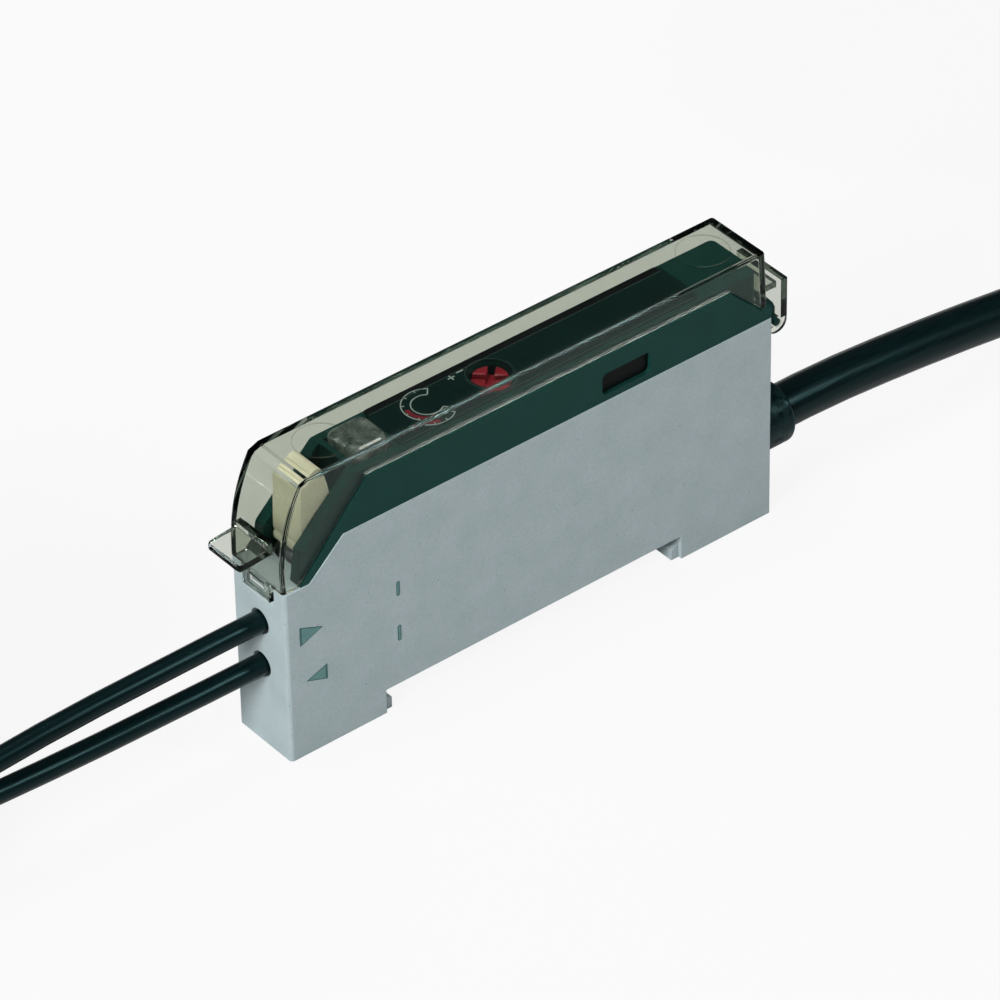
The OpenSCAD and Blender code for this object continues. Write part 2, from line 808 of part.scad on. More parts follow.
module cable_lead() {
    color("#15181a") tube(cable_route, cord_cable_d, 10);
}

module cable_coil() {
    color("#15181a")
    translate([0, 0, cord_lift])
    linear_extrude(cable_coil_h)
    difference() {
        stadium(cable_coil_r1);
        stadium(cable_coil_r0);
    }
}

// A flat band round a bundle that lies along X
module band(x, w, y0, y1, z0, z1) {
    difference() {
        box([x - w / 2, y0 - tie_fit - tie_t, z0 - tie_fit - tie_t],
            [x + w / 2, y1 + tie_fit + tie_t, z1 + tie_fit + tie_t]);
        box([x - w, y0 - tie_fit, z0 - tie_fit], [x + w, y1 + tie_fit, z1 + tie_fit]);
    }
}

module cable_ties() {
    color("#101214") {
        band(cable_coil_x + 28.5, cable_tie_w, cable_coil_y - cable_coil_r1, cable_coil_y - cable_coil_r0,
            cord_lift, cord_lift + cable_coil_h);
        band(cable_coil_x + 15.5, cable_tie_w, cable_coil_y + cable_coil_r0, cable_coil_y + cable_coil_r1,
            cord_lift, cord_lift + cable_coil_h);
    }
}

cable_end_z = cord_lift + cable_coil_h + cord_cable_d / 2 + 0.05;
cable_end_x = cable_coil_x + 5;

module cable_end() {
    color("#15181a")
    translate([0, 0, cable_end_z]) rod_x(cord_cable_d / 2, cable_coil_x, cable_end_x);
}

module core(turn) {
    translate([0, 0, cable_end_z])
    rotate([turn, 0, 0])
    translate([0, 0, core_d * 0.62])
    rod_x(core_d / 2, cable_end_x, cable_end_x + core_len);
}

module core_brown() {
    color("#6b3d24") core(0);
}

module core_blue() {
    color("#2f5fa8") core(120);
}

module core_black() {
    color("#17191b") core(240);
}

// Fibres outside the case
coil_lower_z = cord_lift;
coil_upper_z = coil_lower_z + fibre_coil_h + fibre_coil_gap;

module fibre_upper() {
    color("#1a1f20") tube(upper_route, cord_fibre_d, 8);
}

module fibre_lower() {
    color("#1a1f20") tube(lower_route, cord_fibre_d, 8);
}

module fibre_coil(z) {
    color("#1a1f20")
    translate([fibre_coil_at[0], fibre_coil_at[1], z])
    rotate_extrude()
    translate([fibre_coil_r0, 0])
    square([fibre_coil_r1 - fibre_coil_r0, fibre_coil_h]);
}

module fibre_coil_upper() {
    fibre_coil(coil_upper_z);
}

module fibre_coil_lower() {
    fibre_coil(coil_lower_z);
}

module fibre_tie() {
    color("#101214")
    translate([fibre_coil_at[0], fibre_coil_at[1], 0])
    rotate([0, 0, 90])
    band(0, fibre_tie_w, fibre_coil_r0 - 0.35, fibre_coil_r1 + 0.05,
        coil_lower_z, coil_upper_z + fibre_coil_h);
}

// Places of the two loose ends on top of the coils, with their sensing heads
end_z = coil_upper_z + fibre_coil_h + head_d / 2 + 0.05;
end_r = 14.7;
tail_len = 3;
upper_end = [fibre_coil_at[0], fibre_coil_at[1] + end_r, end_z];
lower_end = [fibre_coil_at[0], fibre_coil_at[1] - end_r, end_z];

module fibre_tail_upper() {
    color("#1a1f20") translate(upper_end) rod_x(cord_fibre_d / 2, 0, tail_len);
}

module fibre_tail_lower() {
    color("#1a1f20") translate(lower_end) rod_x(cord_fibre_d / 2, -tail_len, 0);
}

// A plain round head with a step at its tip
module sensing_head() {
    rotate([0, 90, 0])
    rotate_extrude()
    polygon([[0, 0], [head_d / 2 - 0.2, 0], [head_d / 2, 0.2], [head_d / 2, head_len - head_tip_len],
        [head_tip_d / 2, head_len - head_tip_len], [head_tip_d / 2, head_len], [0, head_len]]);
}

module receiver_head() {
    color("#c7c9c8") translate(upper_end + [tail_len, 0, 0]) sensing_head();
}

module emitter_head() {
    color("#c7c9c8") translate(lower_end - [tail_len, 0, 0]) mirror([1, 0, 0]) sensing_head();
}

main_case();
top_deck();
panel_label();
dust_cover();
lock_lever();
fibre_clamp();
indicator_lens();
indicator_led();
adjuster_rotor();
trimmer_body();
circuit_board();
optics_holder();
emitter_led();
receiver_diode();
amplifier_chip();
output_transistor();
capacitor();
cable_gland();
cable_crimp();
board_wires();
cable_lead();
cable_coil();
cable_ties();
cable_end();
core_brown();
core_blue();
core_black();
fibre_upper();
fibre_lower();
fibre_coil_upper();
fibre_coil_lower();
fibre_tie();
fibre_tail_upper();
fibre_tail_lower();
receiver_head();
emitter_head();
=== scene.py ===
# Looks of the fibre optic sensor amplifier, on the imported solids.
# Lengths are in millimetres, those of the studio in metres, and angles in degrees.
import json
import math
import bpy
from mathutils import Matrix, Vector

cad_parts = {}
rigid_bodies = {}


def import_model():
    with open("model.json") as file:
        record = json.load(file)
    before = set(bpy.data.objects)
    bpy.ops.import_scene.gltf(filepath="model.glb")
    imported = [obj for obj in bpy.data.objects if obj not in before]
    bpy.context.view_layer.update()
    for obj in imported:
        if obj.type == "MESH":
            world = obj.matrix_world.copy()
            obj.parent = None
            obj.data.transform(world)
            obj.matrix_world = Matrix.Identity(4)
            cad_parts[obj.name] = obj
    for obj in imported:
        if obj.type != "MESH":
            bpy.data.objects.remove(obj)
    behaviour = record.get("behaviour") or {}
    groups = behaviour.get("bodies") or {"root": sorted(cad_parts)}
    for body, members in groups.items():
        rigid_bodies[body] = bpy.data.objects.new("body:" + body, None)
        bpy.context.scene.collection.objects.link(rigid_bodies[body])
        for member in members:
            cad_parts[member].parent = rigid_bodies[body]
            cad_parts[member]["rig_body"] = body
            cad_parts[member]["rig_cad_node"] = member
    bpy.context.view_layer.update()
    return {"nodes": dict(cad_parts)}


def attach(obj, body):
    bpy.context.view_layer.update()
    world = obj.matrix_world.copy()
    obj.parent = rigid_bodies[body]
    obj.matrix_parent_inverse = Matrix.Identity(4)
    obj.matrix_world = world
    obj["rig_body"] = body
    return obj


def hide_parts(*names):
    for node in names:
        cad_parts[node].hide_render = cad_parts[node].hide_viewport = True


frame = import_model()
mm = 0.001
caseEnd = -28.8  # X of the fibre end's face
nodes = frame["nodes"]


def hexColour(text):
    # sRGB hex to the linear colour that the shaders take
    parts = [int(text[i:i + 2], 16) / 255 for i in (1, 3, 5)]
    linear = [c / 12.92 if c <= 0.04045 else ((c + 0.055) / 1.055) ** 2.4 for c in parts]
    return (*linear, 1.0)


def clearSelection():
    if bpy.context.object and bpy.context.object.mode != "OBJECT":
        bpy.ops.object.mode_set(mode="OBJECT")
    bpy.ops.object.select_all(action="DESELECT")


def makeActive(piece):
    clearSelection()
    piece.select_set(True)
    bpy.context.view_layer.objects.active = piece


def placeInMesh(piece):
    makeActive(piece)
    bpy.ops.object.transform_apply(location=True, rotation=True, scale=True)


camera = {"at": (-298.251, -376.487, 385.496), "forward": (0.49006, 0.62052, -0.61220),
          "up": (0.39547, 0.46761, 0.79054), "lens": 236.717, "sensor": 36,
          "near": 10, "far": 20000}


def addCamera():
    data = bpy.data.cameras.new("camera")
    data.sensor_width = camera["sensor"]
    data.lens = camera["lens"]
    data.clip_start, data.clip_end = camera["near"] * mm, camera["far"] * mm
    view = bpy.data.objects.new("camera", data)
    bpy.context.scene.collection.objects.link(view)
    back = -Vector(camera["forward"]).normalized()
    up = Vector(camera["up"])
    right = up.cross(back).normalized()
    up = back.cross(right)
    turned = Matrix((right, up, back)).transposed().to_4x4()
    turned.translation = Vector(camera["at"]) * mm
    view.matrix_world = turned
    bpy.context.scene.camera = view


addCamera()
print("camera set")


def addNode(tree, kind, settings=None, inputs=None):
    node = tree.nodes.new(kind)
    for name, value in (settings or {}).items():
        setattr(node, name, value)
    for name, value in (inputs or {}).items():
        if isinstance(value, bpy.types.NodeSocket):
            tree.links.new(value, node.inputs[name])
        else:
            node.inputs[name].default_value = value
    return node


def newMaterial(name, colour, roughness, ior=1.5, metallic=0.0, shine=0.5, tint="#ffffff"):
    made = bpy.data.materials.new(name)
    made.use_nodes = True
    tree = made.node_tree
    shader = tree.nodes["Principled BSDF"]
    surface = {"Base Color": hexColour(colour), "Roughness": roughness, "IOR": ior,
               "Metallic": metallic, "Specular IOR Level": shine,
               "Specular Tint": hexColour(tint)}
    for socket, value in surface.items():
        shader.inputs[socket].default_value = value
    return made, tree, shader


def noise(tree, place, size, detail):
    return addNode(tree, "ShaderNodeTexNoise", None,
                   {"Vector": place, "Scale": 1 / (size * mm), "Detail": detail}).outputs[0]


# what every mould's grain shares: octaves, the broad tone's weight, the ramp and the relief
grainPlan = {"fineDetail": 3.0, "broadDetail": 2.0, "broadShare": 0.5, "ramp": (0.5, 1.0),
             "depth": 0.05}


def mouldedGrain(tree, shader, pale, dark, grain, spread, bump, stretch=1.0):
    # uneven tone at two sizes and a fine bump, as a mould's eroded surface leaves
    place = addNode(tree, "ShaderNodeTexCoord").outputs["Object"]
    if stretch != 1.0:  # drawn out along X, as an extruded jacket is
        place = addNode(tree, "ShaderNodeMapping", None,
                        {"Vector": place, "Scale": (1 / stretch, 1, 1)}).outputs[0]
    fine = noise(tree, place, grain, grainPlan["fineDetail"])
    broad = noise(tree, place, spread, grainPlan["broadDetail"])
    both = addNode(tree, "ShaderNodeMath", {"operation": "MULTIPLY_ADD"},
                   {0: broad, 1: grainPlan["broadShare"], 2: fine})
    tone = addNode(tree, "ShaderNodeValToRGB", None, {"Fac": both.outputs[0]})
    first, last = tone.color_ramp.elements
    first.position, last.position = grainPlan["ramp"]
    first.color, last.color = hexColour(dark), hexColour(pale)
    tree.links.new(tone.outputs["Color"], shader.inputs["Base Color"])
    relief = addNode(tree, "ShaderNodeBump", None,
                     {"Height": fine, "Strength": bump, "Distance": grainPlan["depth"] * mm})
    tree.links.new(relief.outputs["Normal"], shader.inputs["Normal"])
    return place, tone


def addSpecks(tree, shader, place, tone, colour, size, share, soft=0.04):
    # sparse flecks of another pigment over the tone
    spots = noise(tree, place, size, 1.0)
    mask = addNode(tree, "ShaderNodeMapRange", None,
                   {"Value": spots, "From Min": share, "From Max": share + soft})
    # 6, 7 and 2 are the colour sockets A, B and Result
    mixed = addNode(tree, "ShaderNodeMix", {"data_type": "RGBA"},
                    {"Factor": mask.outputs[0], 6: tone.outputs["Color"], 7: hexColour(colour)})
    tree.links.new(mixed.outputs[2], shader.inputs["Base Color"])


def greyAbs():
    # moulded ABS, light blue-grey with an eroded matt face and sparse darker flecks
    made, tree, shader = newMaterial("greyMouldedAbs", "#a4b3b6", roughness=0.55, shine=0.3)
    place, tone = mouldedGrain(tree, shader, "#acbabd", "#9cabae",
                               grain=0.16, spread=3.5, bump=0.3)
    addSpecks(tree, shader, place, tone, "#84959a", size=0.32, share=0.73)
    return made


def greenAbs():
    # moulded ABS, dark bottle green, satin from a polished mould; painted reflection: the teal
    # specular tint colours its highlights teal
    made, tree, shader = newMaterial("greenSatinAbs", "#143a35", roughness=0.42, shine=0.14,
                                     tint="#8fc0ba")
    mouldedGrain(tree, shader, "#183f3a", "#113530", grain=0.2, spread=4.0, bump=0.1)
    return made


def smokePolycarbonate():
    # clear polycarbonate tinted smoke, dark where the wall is seen along its length; painted
    # reflection: the teal specular tint dims its reflections and colours them teal
    made, tree, shader = newMaterial("smokePolycarbonate", "#f2f3ec", roughness=0.0, ior=1.53,
                                     tint="#405857")
    shader.inputs["Transmission Weight"].default_value = 1.0
    smoke = addNode(tree, "ShaderNodeVolumeAbsorption", None,
                    {"Color": hexColour("#4a7558"), "Density": 420.0})
    tree.links.new(smoke.outputs["Volume"], tree.nodes["Material Output"].inputs["Volume"])
    return made


def creamAcetal():
    # moulded acetal, cream and slightly waxy
    made, tree, shader = newMaterial("creamAcetal", "#e6e2c8", roughness=0.38)
    mouldedGrain(tree, shader, "#ece8d0", "#dcd8bc", grain=0.25, spread=2.5, bump=0.1)
    return made


def redAcetal():
    # moulded acetal, dark red with a soft gloss
    made, tree, shader = newMaterial("redAcetal", "#941d2c", roughness=0.3)
    mouldedGrain(tree, shader, "#a22434", "#7c1622", grain=0.2, spread=1.5, bump=0.1)
    return made


def milkyAcrylic():
    # acrylic that scatters light: milky, with paler clouds
    made, tree, shader = newMaterial("milkyAcrylic", "#6f7f7a", roughness=0.22, ior=1.49,
                                     shine=0.35)
    shader.inputs["Transmission Weight"].default_value = 0.6
    mouldedGrain(tree, shader, "#adb9b4", "#4a5e59", grain=0.9, spread=2.2, bump=0.05)
    return made


def blackFilm():
    # printed polyester film, green-black and satin; painted reflection: the teal specular tint
    # colours its highlights teal
    made, tree, shader = newMaterial("blackPolyesterFilm", "#06201f", roughness=0.5, shine=0.1,
                                     tint="#8fc0ba")
    mouldedGrain(tree, shader, "#082523", "#051c1a", grain=0.2, spread=5.0, bump=0.05)
    return made


def cordPvc():
    # extruded PVC jacket, black with a smooth sheen and faint drawn lines; painted reflection: the
    # teal specular tint colours its sheen teal
    made, tree, shader = newMaterial("extrudedBlackPvc", "#040c0d", roughness=0.3, shine=0.35,
                                     tint="#86bcbf")
    mouldedGrain(tree, shader, "#071a1c", "#030a0b", grain=0.3, spread=5.0, bump=0.5,
                 stretch=30.0)
    return made


def glandRubber():
    # moulded elastomer, black, blotched sheen; painted reflection: the teal specular tint colours
    # its sheen teal
    made, tree, shader = newMaterial("mouldedBlackElastomer", "#071315", roughness=0.36,
                                     shine=0.4, tint="#86bcbf")
    place = mouldedGrain(tree, shader, "#0c2629", "#040b0c", grain=0.6, spread=2.0, bump=0.35)[0]
    blotches = noise(tree, place, 0.9, 2.0)
    gloss = addNode(tree, "ShaderNodeMapRange", None,
                    {"Value": blotches, "From Min": 0.35, "From Max": 0.65,
                     "To Min": 0.2, "To Max": 0.6})
    tree.links.new(gloss.outputs[0], shader.inputs["Roughness"])
    return made


def blackPolyamide():
    # moulded polyamide, black and matt
    made, tree, shader = newMaterial("blackPolyamide", "#15181a", roughness=0.5)
    mouldedGrain(tree, shader, "#1b1f21", "#101214", grain=0.2, spread=3.0, bump=0.15)
    return made


def springSteel():
    # rolled spring steel, bright with a faint grain
    made, tree, shader = newMaterial("rolledSpringSteel", "#a3a6a8", roughness=0.32, metallic=1.0)
    mouldedGrain(tree, shader, "#aeb1b3", "#959899", grain=0.2, spread=2.0, bump=0.08)
    return made


def platedBrass():
    # nickel plate on brass, bright and slightly uneven
    made, tree, shader = newMaterial("nickelPlatedBrass", "#c4c2bb", roughness=0.22, metallic=1.0)
    mouldedGrain(tree, shader, "#cdcbc5", "#b5b3ab", grain=0.15, spread=1.5, bump=0.08)
    return made


def boardLaminate():
    # glass fibre laminate under green solder mask
    made, tree, shader = newMaterial("greenMaskedLaminate", "#2f6b45", roughness=0.35)
    mouldedGrain(tree, shader, "#357549", "#28603c", grain=0.4, spread=2.0, bump=0.1)
    return made


def sleevePvc(name, colour, pale, dark):
    # thin PVC sleeve on a core
    made, tree, shader = newMaterial(name, colour, roughness=0.4)
    mouldedGrain(tree, shader, pale, dark, grain=0.3, spread=3.0, bump=0.05)
    return made


def markInk(name, colour, pale, dark):
    # pad-printed ink, thin enough to show the grain
    made, tree, shader = newMaterial(name, colour, roughness=0.55, shine=0.3)
    mouldedGrain(tree, shader, pale, dark, grain=0.16, spread=1.5, bump=0.2)
    return made


def panelInk(name, colour, pale, dark):
    # screen-printed ink on the panel's film
    made, tree, shader = newMaterial(name, colour, roughness=0.45, shine=0.1)
    mouldedGrain(tree, shader, pale, dark, grain=0.1, spread=1.0, bump=0.05)
    return made


looks = {
    "case": greyAbs(), "deck": greenAbs(), "cover": smokePolycarbonate(), "lever": creamAcetal(),
    "rotor": redAcetal(), "lens": milkyAcrylic(), "film": blackFilm(), "cord": cordPvc(),
    "gland": glandRubber(), "black": blackPolyamide(), "steel": springSteel(),
    "brass": platedBrass(), "board": boardLaminate(),
    "brown": sleevePvc("brownPvcSleeve", "#5d3520", "#683d26", "#51301d"),
    "blue": sleevePvc("bluePvcSleeve", "#2b559a", "#325fa8", "#264b89"),
    "blackCore": sleevePvc("blackPvcSleeve", "#141617", "#1a1d1e", "#101112"),
    "mark": markInk("tealPadInk", "#5e8c8a", "#678f8d", "#527e7c"),
    "markRim": markInk("darkTealPadInk", "#3d6361", "#446b69", "#365a58"),
    "faint": panelInk("greyScreenInk", "#3c4c4a", "#445553", "#334341"),
    "white": panelInk("whiteScreenInk", "#a9b8b5", "#b5c3c0", "#9cacaa"),
    "red": panelInk("redScreenInk", "#7c2230", "#872838", "#701e2a"),
    # the black ink also colours painted shade: the dark strip along the panel's far edge
    "ink": panelInk("blackInkAndPaintedShade", "#030909", "#040d0c", "#020605"),
}
print("materials made:", len(looks))


def dress(piece, look):
    piece.data.materials.clear()
    piece.data.materials.append(looks[look])


# centrelines of the cords, in the part's frame; the parts of a turn are shares of it
cable = {
    "route": [(23.4, 0, 8.2), (32.7, 0, 8.2), (36, 0, 8.2), (41, 0, 8), (46, 0, 7.6),
              (51, 0, 7.1), (57, 0, 6.4), (63, 0, 5.6), (69, 0, 4.8), (75, 0, 4.1),
              (81, 0, 3.5), (87, 0, 3.1), (93, 0, 2.9), (101, 0, 2.85)],
    "diameter": 4.5, "length": 2.0, "coilAt": (107, 18), "run": 31, "columns": (18, 13.5),
    "layers": 6, "firstZ": 2.85, "pitch": 4.5, "topZ": 29.9, "endX": (107, 109.5, 112),
    "turnSteps": 40, "changeFrom": 0.68, "roundness": 5}
fibres = {
    "upper": [(-16, 0, 14.2), (-24, 0, 14.2), (-29, 0, 14.2), (-35, 0, 14.2), (-41, 0, 14.15),
              (-47, 0, 14.1), (-53, 0, 13.9), (-59, 0, 13.5), (-65, 0, 13.1)],
    "lower": [(-16, 0, 9.25), (-24, 0, 9.25), (-29, 0, 9.25), (-35, 0, 9.3), (-41, 0, 9.4),
              (-47, 0, 9.5), (-53, 0, 9.7), (-59, 0, 10), (-65, 0, 10.3)],
    "diameter": 2.2, "length": 2.0, "coilAt": (-70.5, 18), "columns": (18, 15.8, 13.6, 11.4),
    "layers": 5, "upperZ": 12.8, "lowerZ": 10.5, "pitch": 2.2, "turnSteps": 30,
    "changeFrom": 0.8, "endZ": 24.25, "endRadius": 14.7, "holeRadius": 8.4, "tail": 3,
    "upperEnd": {"steps": 18, "outFrom": 0.3, "upBy": 0.5},
    "lowerEnd": {"steps": 36, "inBy": 0.17, "outFrom": 0.75, "upBy": 0.78}, "roundness": 3}


def eased(t):
    t = min(max(t, 0.0), 1.0)
    return t * t * (3 - 2 * t)


def easedFrom(share, start):
    return eased((share - start) / (1 - start))


def between(first, last, share):
    return first + (last - first) * share


def windings(columns, layers, firstZ, step):
    # one (radius, height) for each turn, outwards in and back again
    turns = []
    for layer in range(layers):
        order = columns if layer % 2 == 0 else columns[::-1]
        turns += [(radius, firstZ + step * layer) for radius in order]
    return turns


def woundPoints(turns, steps, changeFrom, pointAt):
    # every turn but the last, each stepping over to the next near its end
    points = []
    for now, after in zip(turns, turns[1:]):
        for i in range(steps):
            share = i / steps
            change = easedFrom(share, changeFrom)
            points.append(pointAt(share, between(now[0], after[0], change),
                                  between(now[1], after[1], change)))
    return points


def racetrackPoint(share, radius, height):
    # share of a turn, from the start of the near straight, counter-clockwise from above
    x0, y0 = cable["coilAt"]
    run = cable["run"]
    bend = math.pi * radius
    way = share * 2 * (run + bend)
    if way < run:
        return (x0 + way, y0 - radius, height)
    way -= run
    if way < bend:
        turned = way / radius - math.pi / 2
        return (x0 + run + radius * math.cos(turned), y0 + radius * math.sin(turned), height)
    way -= bend
    if way < run:
        return (x0 + run - way, y0 + radius, height)
    turned = (way - run) / radius + math.pi / 2
    return (x0 + radius * math.cos(turned), y0 + radius * math.sin(turned), height)


def cablePoints():
    outer, top = cable["columns"][0], cable["topZ"]
    turns = windings(cable["columns"], cable["layers"], cable["firstZ"], cable["pitch"])
    turns.append((outer, top))
    points = cable["route"] + woundPoints(turns, cable["turnSteps"], cable["changeFrom"],
                                          racetrackPoint)
    return points + [(x, cable["coilAt"][1] - outer, top) for x in cable["endX"]]


def ringPoint(share, radius, height):
    # share of a turn, from the south, clockwise from above
    x0, y0 = fibres["coilAt"]
    turned = 2 * math.pi * share
    return (x0 - radius * math.sin(turned), y0 - radius * math.cos(turned), height)


def coilTurns(firstZ, step):
    turns = windings(fibres["columns"], fibres["layers"], firstZ, step)
    points = woundPoints(turns + turns[-1:], fibres["turnSteps"], fibres["changeFrom"], ringPoint)
    return points, turns[-1]


def upperPoints():
    coil, (radius, height) = coilTurns(fibres["upperZ"], fibres["pitch"])
    points = fibres["upper"] + coil
    plan = fibres["upperEnd"]
    for i in range(plan["steps"] + 1):  # up onto the coil, ending on its north side
        share = i / plan["steps"]
        points.append(ringPoint(
            share / 2, between(radius, fibres["endRadius"], easedFrom(share, plan["outFrom"])),
            between(height, fibres["endZ"], eased(share / plan["upBy"]))))
    x, y, z = points[-1]
    return points + [(x + fibres["tail"], y, z)]


def lowerPoints():
    coil, (radius, height) = coilTurns(fibres["lowerZ"], -fibres["pitch"])
    points = fibres["lower"] + coil
    plan = fibres["lowerEnd"]
    hole = fibres["holeRadius"]
    for i in range(plan["steps"] + 1):  # up through the coil's hole and out onto its south side
        share = i / plan["steps"]
        inside = between(radius, hole, eased(share / plan["inBy"]))
        outwards = (fibres["endRadius"] - hole) * easedFrom(share, plan["outFrom"])
        points.append(ringPoint(share, inside + outwards,
                                between(height, fibres["endZ"], eased(share / plan["upBy"]))))
    x, y, z = points[-1]
    return points + [(x - fibres["tail"], y, z)]


def addCord(name, points, plan):
    data = bpy.data.curves.new(name, "CURVE")
    data.dimensions = "3D"
    line = data.splines.new("POLY")
    line.points.add(len(points) - 1)
    for spot, p in zip(line.points, points):
        spot.co = (p[0] * mm, p[1] * mm, p[2] * mm, 1)
    line.use_smooth = True
    data.bevel_depth = plan["diameter"] / 2 * mm
    data.bevel_resolution = plan["roundness"]
    data.use_fill_caps = True
    piece = bpy.data.objects.new(name, data)
    bpy.context.scene.collection.objects.link(piece)
    data.materials.append(looks["cord"])
    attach(piece, "base")
    return piece


powerCable = addCord("powerCable", cablePoints(), cable)
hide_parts("cable_lead", "cable_coil", "cable_end")
upperFibre = addCord("upperFibre", upperPoints(), fibres)
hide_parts("fibre_upper", "fibre_coil_upper", "fibre_tail_upper")
lowerFibre = addCord("lowerFibre", lowerPoints(), fibres)
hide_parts("fibre_lower", "fibre_coil_lower", "fibre_tail_lower")
print("cords laid")


# moulded pieces: copies of the solids with their edges eased
easedEdges = {
    "greyCase": {"node": "main_case", "look": "case", "body": "base", "slot": "grey_plastic",
                 "width": 0.16, "steps": 3},
    "greenDeck": {"node": "top_deck", "look": "deck", "body": "base", "slot": "green_plastic",
                  "width": 0.12, "steps": 2},
    "smokeCover": {"node": "dust_cover", "look": "cover", "body": "cover", "slot": "smoke_plastic",
                   "width": 0.05, "steps": 2, "smooth": 12},
    "lockLever": {"node": "lock_lever", "look": "lever", "body": "lever", "slot": "cream_plastic",
                  "width": 0.14, "steps": 3},
    "redRotor": {"node": "adjuster_rotor", "look": "rotor", "body": "rotor", "slot": "red_plastic",
                 "width": 0.1, "steps": 2},
    "milkyLens": {"node": "indicator_lens", "look": "lens", "body": "base",
                  "slot": "milky_plastic", "width": 0.15, "steps": 2},
    "rubberGland": {"node": "cable_gland", "look": "gland", "body": "base",
                    "slot": "black_rubber", "width": 0.15, "steps": 2},
}
easing = {"merge": 0.001, "flatAngle": 0.5, "edgeAngle": 32, "smooth": 32, "weight": 100}


def addEased(name, plan):
    piece = nodes[plan["node"]].copy()
    piece.data = nodes[plan["node"]].data.copy()
    piece.name = name
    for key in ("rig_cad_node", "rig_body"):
        if key in piece:
            del piece[key]
    piece.parent = None
    bpy.context.scene.collection.objects.link(piece)
    makeActive(piece)
    bpy.ops.object.mode_set(mode="EDIT")
    bpy.ops.mesh.select_all(action="SELECT")
    bpy.ops.mesh.remove_doubles(threshold=easing["merge"] * mm)
    bpy.ops.mesh.dissolve_limited(angle_limit=math.radians(easing["flatAngle"]))
    bpy.ops.object.mode_set(mode="OBJECT")
    rim = piece.modifiers.new("rim", "BEVEL")
    rim.limit_method = "ANGLE"
    rim.angle_limit = math.radians(easing["edgeAngle"])
    rim.width = plan["width"] * mm
    rim.segments = plan["steps"]
    rim.use_clamp_overlap = True
    bpy.ops.object.modifier_apply(modifier="rim")
    smooth = plan.get("smooth", easing["smooth"])
    bpy.ops.object.shade_smooth_by_angle(angle=math.radians(smooth))
    flat = piece.modifiers.new("flat", "WEIGHTED_NORMAL")
    flat.weight = easing["weight"]
    flat.keep_sharp = True
    bpy.ops.object.modifier_apply(modifier="flat")
    dress(piece, plan["look"])
    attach(piece, plan["body"])
    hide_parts(plan["node"])


for name, plan in easedEdges.items():
    addEased(name, plan)
print("moulded pieces eased:", len(easedEdges))

# solids that stay as they are
plainLooks = {
    "panel_label": "film", "fibre_clamp": "steel", "indicator_led": "lens",
    "trimmer_body": "black", "circuit_board": "board", "optics_holder": "black",
    "emitter_led": "rotor", "receiver_diode": "black", "amplifier_chip": "black",
    "output_transistor": "black", "capacitor": "steel", "cable_crimp": "steel",
    "board_wires": "brown", "cable_ties": "black", "core_brown": "brown", "core_blue": "blue",
    "core_black": "blackCore", "fibre_tie": "black", "receiver_head": "brass",
    "emitter_head": "brass"}
for name, look in plainLooks.items():
    dress(nodes[name], look)

printSink = 0.005  # how far a mark's back lies inside the face that carries it
roundSteps = 4


def finishMark(piece, name, look, body="base"):
    piece.name = name
    placeInMesh(piece)
    dress(piece, look)
    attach(piece, body)


def thicken(thick):
    # the flat mesh in hand becomes a plate
    bpy.ops.mesh.extrude_region_move(TRANSFORM_OT_translate={"value": (0, 0, thick * mm)})
    bpy.ops.mesh.select_all(action="SELECT")
    bpy.ops.mesh.normals_make_consistent(inside=False)
    bpy.ops.object.mode_set(mode="OBJECT")


def flatShape(corners, size, thick, turn=0, rounding=0):
    # a flat shape with the given box, lying in X and Y, with its corners rounded
    clearSelection()
    if corners == 4:
        bpy.ops.mesh.primitive_plane_add(size=1, location=(0, 0, 0))
    else:
        bpy.ops.mesh.primitive_circle_add(vertices=corners, radius=0.5, fill_type="NGON",
                                          location=(0, 0, 0),
                                          rotation=(0, 0, math.radians(turn)))
    piece = bpy.context.object
    placeInMesh(piece)
    low = Vector(map(min, *[v.co for v in piece.data.vertices]))
    high = Vector(map(max, *[v.co for v in piece.data.vertices]))
    across = high - low
    bpy.ops.object.mode_set(mode="EDIT")
    bpy.ops.mesh.select_all(action="SELECT")
    bpy.ops.transform.translate(value=-(low + high) / 2)
    bpy.ops.transform.resize(value=(size[0] * mm / across.x, size[1] * mm / across.y, 1))
    if rounding:
        bpy.ops.mesh.bevel(offset=rounding * mm, segments=roundSteps, affect="VERTICES")
    thicken(thick)
    return piece


sideMarks = {
    "face": -3.9, "thick": 0.02, "fillThick": 0.03, "barWidth": 0.42,
    "bars": [(12.8, 13.75, 1.7), (12.8, 8.6, 1.8)], "barRound": (0.2, 0.1), "barInset": 0.2,
    "arrowIn": {"at": (2.85, 13.87), "size": (2.67, 2.2), "turn": 0},
    "arrowOut": {"at": (3.26, 8.5), "size": (2.46, 1.8), "turn": 180},
    "arrowInset": (0.5, 0.45), "arrowRound": (0.1, 0.08), "arrowPoint": -90}


def addSideMark(name, piece, at, turn, look):
    piece.rotation_euler = (math.radians(90), math.radians(turn), 0)
    piece.location = ((caseEnd + at[0]) * mm, (sideMarks["face"] + printSink) * mm, at[1] * mm)
    finishMark(piece, name, look)


sideWindow = {"at": (40, 24.9), "size": (5.7, 2.3), "floor": -3.3, "sink": 0.01, "thick": 0.08,
              "rounding": 0.55}


def addWindowPane():
    pane = flatShape(4, sideWindow["size"], sideWindow["thick"], rounding=sideWindow["rounding"])
    x, z = sideWindow["at"]
    y = sideWindow["floor"] + sideWindow["sink"]
    pane.rotation_euler = (math.radians(90), 0, 0)
    pane.location = ((caseEnd + x) * mm, y * mm, z * mm)
    finishMark(pane, "windowPane", "ink")


# the cheeks' bores are blind: a green floor over each end of the lever's pivot
pivotPlugs = {"at": (4.6, 22.4), "across": 1.31, "sides": 32, "thick": 0.07, "face": 3.05}


